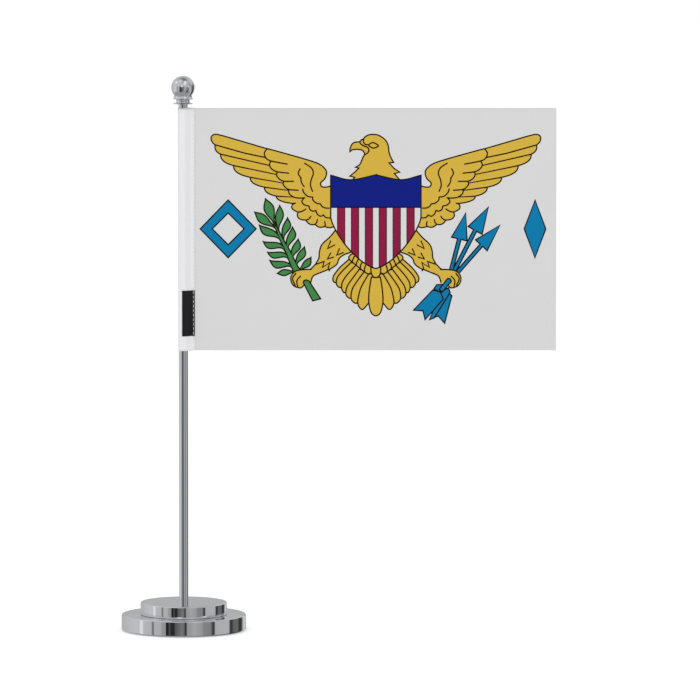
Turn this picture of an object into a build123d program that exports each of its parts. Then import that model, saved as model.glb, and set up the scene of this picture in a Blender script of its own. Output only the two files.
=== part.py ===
from build123d import *
import os
from math import acos, atan2, cos, sin, sqrt

# A desk flag stand. Millimetres; the origin is the centre of the face it rests on, +Z runs up the
# pole, +X runs from the pole to the flag's free edge and -Y faces the viewer.

# ---- driving dimensions of the base
LOWER_DISC_R = 36.0
LOWER_DISC_BOTTOM = 0.5
LOWER_DISC_TOP = 9.5
UPPER_DISC_R = 25.0
UPPER_DISC_TOP = 16.5
DISC_CHAMFER = 0.5
PAD_R = 32.0
PAD_THICKNESS = 1.0
PAD_ACCESS_R = 6.0
COUNTERBORE_R = 5.0
COUNTERBORE_TOP = 5.4
SPIGOT_R = 6.0
SPIGOT_BOTTOM = 7.6
LOCATING_SOCKET_DEPTH = 2.0

# ---- driving dimensions of the bolt that draws the pole down
BOLT_R = 1.5
BOLT_CLEARANCE_R = 1.7
BOLT_HEAD_R = 2.75
BOLT_HEAD_HEIGHT = 3.0
BOLT_LENGTH = 16.0
HEX_KEY_ACROSS_FLATS = 2.5
HEX_KEY_DEPTH = 1.6
WASHER_R = 4.5
WASHER_THICKNESS = 0.8

# ---- driving dimensions of the pole
POLE_R = 2.65
POLE_BORE_R = 2.0
POLE_FOOT = 12.0
POLE_TOP = 305.3
POLE_SOCKET_CLEARANCE = 0.05
INSERT_LENGTH = 10.0
THREAD_CLEARANCE = 0.05

# ---- driving dimensions of the finial
BALL_R = 6.75
BALL_CENTRE = 314.7
BALL_SEAT_CLEARANCE = 0.05
COLLAR_FLANGE_R = 5.6
COLLAR_LIP_R = 5.75
COLLAR_NECK_R = 3.8
COLLAR_FLANGE_HEIGHT = 0.3
COLLAR_LIP_HEIGHT = 0.4
COVE_R = 1.25
CUP_TOP = 310.0
CUP_RIM_R = 5.15
CUP_FOOT_R = 5.35
STUD_LENGTH = 13.0
STUD_DEPTH_IN_BALL = 4.5

# ---- driving dimensions of the flag
FLAG_BOTTOM = 162.0
FLAG_HEIGHT = 141.0
FLAG_FREE_EDGE = 215.0
CLOTH_THICKNESS = 0.28
HEM_WIDTH = 3.0
HEM_STITCH_INSET = 2.2
SLEEVE_THICKNESS = 0.22
SLEEVE_INNER_R = 2.82
SLEEVE_SEAM_START = 4.5
SLEEVE_EDGE = 6.6
SEAM_STITCH_X = 5.8
THREAD_WIDTH = 0.3
THREAD_THICKNESS = 0.1
LABEL_LEFT = -0.7
LABEL_BOTTOM = 170.5
LABEL_HEIGHT = 26.2
LABEL_THICKNESS = 0.3
BAND_INNER_R = 2.67
BAND_OUTER_R = 2.79
BAND_HEIGHT = 12.0
BAND_TOP_BELOW_FLAG_TOP = 12.0


def cylinder(radius, bottom, top):
    """An upright cylinder on the pole's axis between two heights."""
    return Pos(0, 0, (bottom + top) / 2) * Cylinder(radius, top - bottom)


def ring(outer, inner, bottom, top):
    """An upright tube on the pole's axis between two heights."""
    return cylinder(outer, bottom, top) - cylinder(inner, bottom - 1, top + 1)


def turned_disc(radius, bottom, top):
    """A turned disc with both of its outer edges broken by a chamfer."""
    disc = cylinder(radius, bottom, top)
    rims = disc.edges().filter_by(GeomType.CIRCLE)
    return chamfer(rims, DISC_CHAMFER)


def upright_box(x_range, y_range, z_range):
    """A box given by its two limits along each axis."""
    middle = [sum(limits) / 2 for limits in (x_range, y_range, z_range)]
    sides = [limits[1] - limits[0] for limits in (x_range, y_range, z_range)]
    return Pos(*middle) * Box(*sides)


def loop_outline(radius, half_gap):
    """The teardrop that a cloth loop makes: round the pole, then straight to the seam.

    The straight sides are tangent to the circle and meet the seam half_gap from its middle plane.
    """
    reach = sqrt(SLEEVE_SEAM_START ** 2 + half_gap ** 2)
    tangent = atan2(half_gap, SLEEVE_SEAM_START) + acos(radius / reach)
    touch_x = radius * cos(tangent)
    touch_y = radius * sin(tangent)
    sides = Polygon(
        (0, 0),
        (touch_x, -touch_y),
        (SLEEVE_SEAM_START, -half_gap),
        (SLEEVE_SEAM_START, half_gap),
        (touch_x, touch_y),
        align=None,
    )
    seam_middle = (SLEEVE_SEAM_START + SLEEVE_EDGE) / 2
    seam = Pos(seam_middle, 0) * Rectangle(SLEEVE_EDGE - SLEEVE_SEAM_START, 2 * half_gap)
    return Circle(radius) + sides + seam


def standing(outline, bottom, height):
    """A flat outline raised straight up from a given height."""
    return Pos(0, 0, bottom) * extrude(outline, height)


def build_lower_disc():
    """The wide disc: recessed below for the pad and the bolt, socketed above for the upper disc."""
    disc = turned_disc(LOWER_DISC_R, LOWER_DISC_BOTTOM, LOWER_DISC_TOP)
    disc -= cylinder(PAD_R, LOWER_DISC_BOTTOM - 1, PAD_THICKNESS)
    disc -= cylinder(COUNTERBORE_R, 0, COUNTERBORE_TOP)
    disc -= cylinder(BOLT_CLEARANCE_R, 0, LOWER_DISC_TOP)
    disc -= cylinder(SPIGOT_R, LOWER_DISC_TOP - LOCATING_SOCKET_DEPTH, LOWER_DISC_TOP + 1)
    return disc


def build_upper_disc():
    """The narrow disc: a spigot below centres it, a socket above takes the pole's foot."""
    disc = turned_disc(UPPER_DISC_R, LOWER_DISC_TOP, UPPER_DISC_TOP)
    disc += cylinder(SPIGOT_R, SPIGOT_BOTTOM, LOWER_DISC_TOP + 1)
    disc -= cylinder(POLE_R + POLE_SOCKET_CLEARANCE, POLE_FOOT, UPPER_DISC_TOP + 1)
    disc -= cylinder(BOLT_CLEARANCE_R, 0, POLE_FOOT + 1)
    return disc


def build_pad():
    """The non-slip pad under the base, open in the middle so that the bolt can be reached."""
    return ring(PAD_R, PAD_ACCESS_R, 0, PAD_THICKNESS)


def build_washer():
    """The washer between the bolt's head and the lower disc."""
    return ring(WASHER_R, BOLT_CLEARANCE_R, COUNTERBORE_TOP - WASHER_THICKNESS, COUNTERBORE_TOP)


def build_bolt():
    """The socket-head bolt that passes up through both discs into the pole's foot."""
    seat = COUNTERBORE_TOP - WASHER_THICKNESS
    head_bottom = seat - BOLT_HEAD_HEIGHT
    bolt = cylinder(BOLT_HEAD_R, head_bottom, seat)
    bolt = chamfer(bolt.edges().filter_by(GeomType.CIRCLE).sort_by(Axis.Z)[0], 0.3)
    bolt += cylinder(BOLT_R, seat - 0.5, seat + BOLT_LENGTH)
    bolt = chamfer(bolt.edges().filter_by(GeomType.CIRCLE).sort_by(Axis.Z)[-1], 0.3)
    corner_r = HEX_KEY_ACROSS_FLATS / sqrt(3)
    key_hole = extrude(RegularPolygon(corner_r, 6), HEX_KEY_DEPTH)
    return bolt - Pos(0, 0, head_bottom) * key_hole


def build_insert(bottom, top):
    """A threaded insert fixed inside the end of the pole, its thread drawn as a plain hole."""
    return ring(POLE_BORE_R, BOLT_R + THREAD_CLEARANCE, bottom, top)


def build_collar():
    """The turned collar under the ball: a flange, a round cove, a thin lip and a shallow cup."""
    flange_top = POLE_TOP + COLLAR_FLANGE_HEIGHT
    lip_bottom = flange_top + 2 * COVE_R
    lip_top = lip_bottom + COLLAR_LIP_HEIGHT
    collar = cylinder(COLLAR_FLANGE_R, POLE_TOP, flange_top + COVE_R)
    collar += cylinder(COLLAR_LIP_R, flange_top + COVE_R, lip_top)
    cup_height = CUP_TOP - lip_top
    collar += Pos(0, 0, lip_top + cup_height / 2) * Cone(CUP_FOOT_R, CUP_RIM_R, cup_height)
    cove = Torus(COLLAR_NECK_R + COVE_R, COVE_R)
    beyond_cove = ring(COLLAR_LIP_R + 1, COLLAR_NECK_R + COVE_R, flange_top, lip_bottom)
    collar -= Pos(0, 0, flange_top + COVE_R) * cove
    collar -= beyond_cove
    collar -= Pos(0, 0, BALL_CENTRE) * Sphere(BALL_R + BALL_SEAT_CLEARANCE)
    return collar - cylinder(BOLT_R + THREAD_CLEARANCE, POLE_TOP - 1, CUP_TOP)


def build_ball(stud_top):
    """The ball, flattened a little where it faces the cup's floor and drilled for its stud."""
    ball = Pos(0, 0, BALL_CENTRE) * Sphere(BALL_R)
    ball -= cylinder(BALL_R, BALL_CENTRE - BALL_R - 1, BALL_CENTRE - BALL_R + 0.3)
    return ball - cylinder(BOLT_R, BALL_CENTRE - BALL_R - 1, stud_top)


def build_stud(stud_top):
    """The threaded stud fixed in the ball, drawn as a plain rod."""
    stud = cylinder(BOLT_R, stud_top - STUD_LENGTH, stud_top)
    return chamfer(stud.edges().filter_by(GeomType.CIRCLE).sort_by(Axis.Z)[0], 0.3)


def build_cloth():
    """The printed panel, with its top, bottom and free edges folded to the back as hems."""
    half = CLOTH_THICKNESS / 2
    bottom = FLAG_BOTTOM
    top = FLAG_BOTTOM + FLAG_HEIGHT
    across = (SLEEVE_SEAM_START, FLAG_FREE_EDGE)
    hem_across = (SLEEVE_EDGE, FLAG_FREE_EDGE)
    hem_depth = (half, half + CLOTH_THICKNESS)
    cloth = upright_box(across, (-half, half), (bottom, top))
    cloth += upright_box(hem_across, hem_depth, (bottom, bottom + HEM_WIDTH))
    cloth += upright_box(hem_across, hem_depth, (top - HEM_WIDTH, top))
    free_hem = (FLAG_FREE_EDGE - HEM_WIDTH, FLAG_FREE_EDGE)
    return cloth + upright_box(free_hem, hem_depth, (bottom, top))


def build_hem_threads():
    """The two threads of the hem's stitching, one on the face and one on the back."""
    left = SLEEVE_EDGE + 1.0
    right = FLAG_FREE_EDGE - HEM_STITCH_INSET
    low = FLAG_BOTTOM + HEM_STITCH_INSET
    high = FLAG_BOTTOM + FLAG_HEIGHT - HEM_STITCH_INSET
    face = -CLOTH_THICKNESS / 2
    back = CLOTH_THICKNESS * 1.5
    threads = []
    for depth in ((face - THREAD_THICKNESS, face), (back, back + THREAD_THICKNESS)):
        thread = upright_box((left, right), depth, (low, low + THREAD_WIDTH))
        thread += upright_box((left, right), depth, (high - THREAD_WIDTH, high))
        thread += upright_box((right - THREAD_WIDTH, right), depth, (low, high))
        threads.append(thread)
    return threads


def build_sleeve():
    """The strip folded round the pole and sewn to both sides of the panel's inner edge."""
    gap = CLOTH_THICKNESS / 2
    outside = loop_outline(SLEEVE_INNER_R + SLEEVE_THICKNESS, gap + SLEEVE_THICKNESS)
    inside = loop_outline(SLEEVE_INNER_R, gap)
    return standing(outside - inside, FLAG_BOTTOM, FLAG_HEIGHT)


def build_label():
    """The plain woven label sewn into the seam and lying over the sleeve's front."""
    gap = CLOTH_THICKNESS / 2 + SLEEVE_THICKNESS
    radius = SLEEVE_INNER_R + SLEEVE_THICKNESS
    outside = loop_outline(radius + LABEL_THICKNESS, gap + LABEL_THICKNESS)
    front = loop_outline(radius, gap)
    width = SLEEVE_EDGE - LABEL_LEFT
    front_half = Pos(LABEL_LEFT + width / 2, -5) * Rectangle(width, 10)
    return standing((outside - front) & front_half, LABEL_BOTTOM, LABEL_HEIGHT)


def build_seam_threads():
    """The two threads that close the sleeve; the one on the face also steps over the label."""
    across = (SEAM_STITCH_X - THREAD_WIDTH / 2, SEAM_STITCH_X + THREAD_WIDTH / 2)
    surface = CLOTH_THICKNESS / 2 + SLEEVE_THICKNESS
    low = FLAG_BOTTOM + 1.0
    high = FLAG_BOTTOM + FLAG_HEIGHT - 1.0
    raised = surface + LABEL_THICKNESS
    label_top = LABEL_BOTTOM + LABEL_HEIGHT
    under = (-surface - THREAD_THICKNESS, -surface)
    over = (-raised - THREAD_THICKNESS, -raised)
    step = (-raised - THREAD_THICKNESS, -surface)
    front = upright_box(across, under, (low, LABEL_BOTTOM))
    front += upright_box(across, step, (LABEL_BOTTOM - THREAD_THICKNESS, LABEL_BOTTOM))
    front += upright_box(across, over, (LABEL_BOTTOM, label_top))
    front += upright_box(across, step, (label_top, label_top + THREAD_THICKNESS))
    front += upright_box(across, under, (label_top, high))
    back = upright_box(across, (surface, surface + THREAD_THICKNESS), (low, high))
    return [front, back]


def build_grip_band():
    """The thin clear band on the pole that holds the sleeve's height by friction."""
    top = FLAG_BOTTOM + FLAG_HEIGHT - BAND_TOP_BELOW_FLAG_TOP
    return ring(BAND_OUTER_R, BAND_INNER_R, top - BAND_HEIGHT, top)


def main():
    """Builds every piece and writes each to its own file."""
    stud_top = BALL_CENTRE - BALL_R + 0.3 + STUD_DEPTH_IN_BALL
    pieces = {
        "base_pad": build_pad(),
        "base_lower_disc": build_lower_disc(),
        "base_upper_disc": build_upper_disc(),
        "base_washer": build_washer(),
        "base_bolt": build_bolt(),
        "pole_tube": ring(POLE_R, POLE_BORE_R, POLE_FOOT, POLE_TOP),
        "pole_foot_insert": build_insert(POLE_FOOT, POLE_FOOT + INSERT_LENGTH),
        "pole_top_insert": build_insert(POLE_TOP - INSERT_LENGTH, POLE_TOP),
        "finial_collar": build_collar(),
        "finial_ball": build_ball(stud_top),
        "finial_stud": build_stud(stud_top),
        "grip_band": build_grip_band(),
        "flag_cloth": build_cloth(),
        "flag_sleeve": build_sleeve(),
        "hem_thread": Compound(children=build_hem_threads()),
        "seam_thread": Compound(children=build_seam_threads()),
        "label": build_label(),
    }
    os.makedirs("parts", exist_ok=True)
    for name, shape in pieces.items():
        export_step(shape, f"parts/{name}.step")
        size = shape.bounding_box().size
        print(f"{name}: {size.X:.2f} x {size.Y:.2f} x {size.Z:.2f} mm, {shape.volume:.1f} mm3")


main()
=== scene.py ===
import logging
import math
from collections.abc import Mapping, Sequence
from dataclasses import dataclass, field
from enum import Enum
from functools import cache

import bmesh
import bpy
import numpy as np
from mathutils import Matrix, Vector
from mathutils.geometry import delaunay_2d_cdt


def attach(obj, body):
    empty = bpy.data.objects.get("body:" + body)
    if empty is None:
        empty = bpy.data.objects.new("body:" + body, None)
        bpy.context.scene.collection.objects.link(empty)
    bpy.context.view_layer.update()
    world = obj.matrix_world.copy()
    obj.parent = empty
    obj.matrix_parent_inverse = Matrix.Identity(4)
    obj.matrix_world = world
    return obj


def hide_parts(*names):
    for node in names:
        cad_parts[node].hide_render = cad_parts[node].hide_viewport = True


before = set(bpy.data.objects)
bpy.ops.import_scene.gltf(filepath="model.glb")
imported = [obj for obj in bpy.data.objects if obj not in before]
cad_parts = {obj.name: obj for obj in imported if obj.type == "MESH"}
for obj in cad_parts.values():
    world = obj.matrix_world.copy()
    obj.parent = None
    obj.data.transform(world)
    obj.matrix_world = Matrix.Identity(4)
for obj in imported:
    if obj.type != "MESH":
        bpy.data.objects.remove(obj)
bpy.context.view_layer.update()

LOG = logging.getLogger("flag_stand")
MM = 0.001
STALK = 0.9
Points = Sequence[tuple[float, float]] | np.ndarray


# ---------------------------------------------------------------- colours and nodes


def decoded(coded: np.ndarray) -> np.ndarray:
    """Light from sRGB values of 0 to 1, by the standard's curve."""
    return np.where(coded <= 0.04045, coded / 12.92, ((coded + 0.055) / 1.055) ** 2.4)


def linear(colour: str) -> tuple[float, float, float, float]:
    """Turns an sRGB hex colour to linear light.

    Args:
        colour: "#RRGGBB".

    Returns:
        Red, green, blue and an alpha of 1.
    """
    coded = np.array([int(colour[i : i + 2], 16) for i in (1, 3, 5)]) / 255
    return (*decoded(coded).tolist(), 1.0)


def add_node(
    tree: bpy.types.NodeTree, kind: str, inputs: Mapping | None = None, **settings: object
) -> bpy.types.Node:
    """Adds a node with its settings and what its sockets hold.

    Args:
        tree: The material's or world's nodes.
        kind: The node's type, such as "ShaderNodeMath".
        inputs: Socket name or number to a value, or to another node's output, which is linked.
        settings: The node's own properties.

    Returns:
        The new node.
    """
    node = tree.nodes.new(kind)
    for name, value in settings.items():
        setattr(node, name, value)
    for key, value in (inputs or {}).items():
        if isinstance(value, bpy.types.NodeSocket):
            tree.links.new(value, node.inputs[key])
        else:
            node.inputs[key].default_value = value
    return node


def emptied(owner: bpy.types.Material | bpy.types.World) -> bpy.types.NodeTree:
    """Turns a material's or world's nodes on and takes out the ones it starts with."""
    owner.use_nodes = True
    owner.node_tree.nodes.clear()
    return owner.node_tree


# ---------------------------------------------------------------- meshes


def grid_faces(rows: int, columns: int, round_columns: bool = False) -> np.ndarray:
    """The quads between neighbouring points of a grid.

    Args:
        rows: Rows of points.
        columns: Points in a row.
        round_columns: Whether the last column joins the first.

    Returns:
        Four point numbers a face, turned so that row direction crossed into column direction
        points inwards: a lathe's profile that climbs on the outside faces outwards.
    """
    row, column = np.meshgrid(
        np.arange(rows - 1), np.arange(columns if round_columns else columns - 1), indexing="ij"
    )
    after = (column + 1) % columns
    corners = (
        row * columns + column,
        row * columns + after,
        (row + 1) * columns + after,
        (row + 1) * columns + column,
    )
    return np.stack(corners, axis=-1).reshape(-1, 4)


def mesh_object(
    name: str, points: np.ndarray, faces: np.ndarray, merge: bool = False, smooth: bool = True
) -> bpy.types.Object:
    """Makes an object from points in millimetres.

    Args:
        name: The piece's name.
        points: One row of x, y and z a point.
        faces: One row of point numbers a face.
        merge: Whether points in the same place become one, which closes poles and seams.
        smooth: Whether the faces are shaded smoothly.

    Returns:
        The object, linked to the scene, with its place in its mesh.
    """
    mesh = bpy.data.meshes.new(name)
    mesh.from_pydata((np.asarray(points) * MM).tolist(), [], faces.tolist())
    if merge:
        work = bmesh.new()
        work.from_mesh(mesh)
        bmesh.ops.remove_doubles(work, verts=work.verts, dist=1e-7)
        work.to_mesh(mesh)
        work.free()
    mesh.validate()
    mesh.polygons.foreach_set("use_smooth", np.full(len(mesh.polygons), smooth))
    made = bpy.data.objects.new(name, mesh)
    bpy.context.scene.collection.objects.link(made)
    return made


def rounded(corners: Sequence[tuple[float, float, float]], support: float = 0.15) -> np.ndarray:
    """A profile whose corners are turned into arcs.

    Each arc touches both sides of its corner: it starts fillet divided by the tangent of half the
    corner's angle away from it. A point just beyond each end of the arc keeps the smooth shading
    on the arc and the flats flat. A corner on the axis, or with no fillet, stays as it is.

    Args:
        corners: Radius, height and fillet of each corner, in order. The profile is closed unless
            it starts on the axis.
        support: How far beyond the arc that point lies.

    Returns:
        Rows of radius and height.
    """
    steps = np.linspace(0, 1, 6)[:, None]
    places = np.array(corners, float)[:, :2]
    line = []
    for number, (_, _, fillet) in enumerate(corners):
        corner = places[number]
        if not fillet:
            line.append(corner[None])
            continue
        back = places[number - 1] - corner
        ahead = places[(number + 1) % len(corners)] - corner
        shorter = min(np.linalg.norm(back), np.linalg.norm(ahead))
        back, ahead = back / np.linalg.norm(back), ahead / np.linalg.norm(ahead)
        half = math.acos(np.clip(back @ ahead, -1, 1)) / 2
        reach = fillet / math.tan(half)
        beyond = reach + min(support, max(0.45 * shorter - reach, 0.01))
        centre = corner + (back + ahead) / np.linalg.norm(back + ahead) * fillet / math.sin(half)
        start, end = corner + back * reach - centre, corner + ahead * reach - centre
        turn = math.pi - 2 * half
        arc = (np.sin((1 - steps) * turn) * start + np.sin(steps * turn) * end) / math.sin(turn)
        line += [corner[None] + back * beyond, centre + arc, corner[None] + ahead * beyond]
    return np.vstack(line)


def lathe(name: str, profile: np.ndarray, segments: int = 192) -> bpy.types.Object:
    """Turns a profile round the pole's axis.

    The point at profile place p and angle a is (radius(p) cos a, radius(p) sin a, height(p)).

    Args:
        name: The piece's name.
        profile: Rows of radius and height that climb on the outside. It closes on itself unless
            it starts on the axis, where it is closed by a pole.
        segments: Faces round the axis.

    Returns:
        The closed, turned object.
    """
    if profile[0, 0] > 0:
        profile = np.vstack([profile, profile[:1]])
    angle = np.linspace(0, 2 * math.pi, segments, endpoint=False)
    radius, height = profile[:, :1], profile[:, 1:]
    points = np.stack(
        [radius * np.cos(angle), radius * np.sin(angle), height + 0 * angle], axis=-1
    )
    faces = grid_faces(len(profile), segments, round_columns=True)
    return mesh_object(name, points.reshape(-1, 3), faces, merge=True)


# ---------------------------------------------------------------- flat outlines


def curve(*points: tuple[float, float], step: float = 0.9, closed: bool = False) -> np.ndarray:
    """A smooth line through its points, as a Catmull-Rom spline.

    Between two points it is the cubic that leaves each along the line between its neighbours.

    Args:
        points: What the line passes through.
        step: The distance between the line's own points.
        closed: Whether it returns to its start.

    Returns:
        Rows of x and z.
    """
    place = np.asarray(points, float)
    if closed:
        whole = np.vstack([place[-1:], place, place[:2]])
    else:
        whole = np.vstack([2 * place[0] - place[1], place, 2 * place[-1] - place[-2]])
    chord = np.linalg.norm(whole[2:-1] - whole[1:-2], axis=1)
    count = np.maximum(2, np.ceil(chord / step)).astype(int)
    span = np.repeat(np.arange(len(count)), count)
    t = np.concatenate([np.arange(n) / n for n in count])[:, None]
    a, b, c, d = (whole[i : len(whole) - 3 + i][span] for i in range(4))
    line = b + t / 2 * (c - a + t * (2 * a - 5 * b + 4 * c - d + t * (3 * b - a - 3 * c + d)))
    return line if closed else np.vstack([line, place[-1:]])


def arc(centre: tuple[float, float], radius: float, start: float, end: float) -> np.ndarray:
    """Points on a circle, from one angle to another in degrees."""
    count = max(6, int(abs(math.radians(end - start)) * radius / 0.7))
    angle = np.radians(np.linspace(start, end, count))
    return np.array(centre) + radius * np.stack([np.cos(angle), np.sin(angle)], axis=-1)


def bend(start: Points, pull: Points, end: Points) -> np.ndarray:
    """A quadratic Bezier: (1-t)² of start, 2t(1-t) of pull and t² of end."""
    t = np.linspace(0, 1, 9)[:, None]
    start, pull, end = (np.asarray(p, float) for p in (start, pull, end))
    return (1 - t) ** 2 * start + 2 * t * (1 - t) * pull + t**2 * end


def divided(path: Points, step: float, closed: bool = False) -> np.ndarray:
    """The same straight lines with points no more than a step apart.

    Args:
        path: The line's corners.
        step: The greatest distance between points.
        closed: Whether it returns to its start.

    Returns:
        Rows of x and z.
    """
    ends = np.asarray(path, float)
    if closed:
        ends = np.vstack([ends, ends[:1]])
    count = np.ceil(np.linalg.norm(np.diff(ends, axis=0), axis=1) / step).astype(int)
    span = np.repeat(np.arange(len(count)), count)
    t = np.concatenate([np.arange(n) / n for n in count])[:, None]
    line = (1 - t) * ends[:-1][span] + t * ends[1:][span]
    return line if closed else np.vstack([line, ends[-1:]])


def sideways(path: np.ndarray, closed: bool) -> np.ndarray:
    """How far each point moves when its line is moved one to the left.

    It is the mean of the two sides' normals, made longer at a corner so that both sides keep
    their distance, up to twice.
    """
    ahead = np.roll(path, -1, axis=0) - path
    if not closed:
        ahead[-1] = ahead[-2]
    ahead /= np.linalg.norm(ahead, axis=1, keepdims=True) + 1e-12
    behind = np.roll(ahead, 1, axis=0)
    if not closed:
        behind[0] = ahead[0]
    mean = ahead + behind
    mean /= np.linalg.norm(mean, axis=1, keepdims=True) + 1e-12
    stretch = 1 / np.clip((mean * ahead).sum(axis=1, keepdims=True), 0.5, 1)
    return np.stack([-mean[:, 1], mean[:, 0]], axis=-1) * stretch


def grown(outline: np.ndarray, by: float) -> np.ndarray:
    """A closed outline moved outwards by a distance, or inwards where that is negative."""
    x, z = outline.T
    turns_left = np.sum(x * np.roll(z, -1) - z * np.roll(x, -1)) > 0
    return outline + sideways(outline, closed=True) * (-by if turns_left else by)


def ribbon(path: np.ndarray, width: float, end_width: float | None = None) -> np.ndarray:
    """The outline of a line, with blunt points for ends.

    Args:
        path: The line's middle.
        width: Its width, or its width at the start.
        end_width: Its width at the end, if it widens or narrows evenly.

    Returns:
        The closed outline.
    """
    end_width = width if end_width is None else end_width
    widths = np.linspace(width, end_width, len(path))[:, None]
    move = sideways(path, closed=False) * widths / 2
    first, last = path[0] - path[1], path[-1] - path[-2]
    first = path[0] + first / np.linalg.norm(first) * width / 2
    last = path[-1] + last / np.linalg.norm(last) * end_width / 2
    return np.vstack([first[None], path + move, last[None], (path - move)[::-1]])


def leaf(base: Points, tip: Points, width: float, sway: float, bow: float = 0.0) -> np.ndarray:
    """A pointed leaf's outline, slender where it leaves its stem.

    At t of its length the middle leaves the straight line by sway sin(2 pi t) + bow sin(pi t), to
    the left of the way from base to tip. The half width is half the width times
    sin(pi t^1.5)^1.3, but not less than that of its stalk.

    Args:
        base: Where it starts, inside the stem.
        tip: Where it ends.
        width: Its greatest width.
        sway: How far its middle bulges to the left, and then to the right.
        bow: How far its middle bulges to the left all along.

    Returns:
        The closed outline.
    """
    base, tip = np.asarray(base, float), np.asarray(tip, float)
    t = np.linspace(0, 1, 17)
    swell = np.clip(np.sin(math.pi * t**1.5), 0, 1) ** 1.3
    half = np.maximum(np.where(t < 0.5, STALK / 2, 0), width / 2 * swell)
    along = (tip - base) / np.linalg.norm(tip - base)
    across = np.array([-along[1], along[0]])
    aside = sway * np.sin(2 * math.pi * t) + bow * np.sin(math.pi * t)
    middle = base + np.outer(t, tip - base) + np.outer(aside, across)
    left, right = middle + np.outer(half, across), middle - np.outer(half, across)
    return np.vstack([left, right[-2::-1]])


def winding(outline: np.ndarray, places: np.ndarray) -> np.ndarray:
    """How many times an outline goes round each place.

    Every side that passes the place's height on its right counts one up or one down.

    Args:
        outline: The closed outline, rows of x and z.
        places: Rows of x and z.

    Returns:
        A whole number a place, 0 outside.
    """
    low, high = outline.min(axis=0), outline.max(axis=0)
    near = np.flatnonzero(((places > low) & (places < high)).all(axis=1))
    count = np.zeros(len(places), int)
    x, z = places[near, :1], places[near, 1:]
    x1, z1 = outline.T
    x2, z2 = np.roll(outline, -1, axis=0).T
    right = (x2 - x1) * (z - z1) - (x - x1) * (z2 - z1)
    up = (z1 <= z) & (z2 > z) & (right < 0)
    down = (z1 > z) & (z2 <= z) & (right > 0)
    count[near] = up.sum(axis=1) - down.sum(axis=1)
    return count


# ---------------------------------------------------------------- the printed emblem


class Ink(Enum):
    """The inks of the print, by the colour that each leaves on the cloth."""

    CLOTH = "#D5D5D5"
    GOLD = "#D1AE42"
    BROWN = "#1C1409"
    NAVY = "#0E1F7E"
    CRIMSON = "#891A42"
    SKY = "#0A78A8"
    GREEN = "#418349"


@dataclass
class Drawing:
    """Flat shapes painted one over another, in millimetres.

    Attributes:
        line: The width of an outline.
        side: 1, or -1 to draw what follows mirrored left to right.
        layers: Each shape's closed outline and ink, the lowest first.
    """

    line: float = 0.82
    side: int = 1
    layers: list[tuple[np.ndarray, Ink]] = field(default_factory=list)

    def fill(self, outline: Points, ink: Ink) -> None:
        """Paints a closed outline."""
        self.layers.append((np.asarray(outline, float) * (self.side, 1), ink))

    def edged(self, outline: Points, ink: Ink) -> None:
        """Paints a closed outline with a dark line round it."""
        outline = np.asarray(outline, float)
        self.fill(grown(outline, self.line / 2), Ink.BROWN)
        self.fill(grown(outline, -self.line / 2), ink)

    def joined(self, outlines: Sequence[Points], ink: Ink) -> None:
        """Paints shapes that run into each other, with one dark line round all of them."""
        for outline in outlines:
            self.fill(grown(np.asarray(outline, float), self.line / 2), Ink.BROWN)
        for outline in outlines:
            self.fill(grown(np.asarray(outline, float), -self.line / 2), ink)

    def stroke(self, *points: tuple[float, float], straight: bool = False) -> None:
        """Draws a dark line through some points, smooth unless it is straight."""
        path = np.asarray(points, float) if straight else curve(*points)
        self.fill(ribbon(path, self.line), Ink.BROWN)


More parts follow.
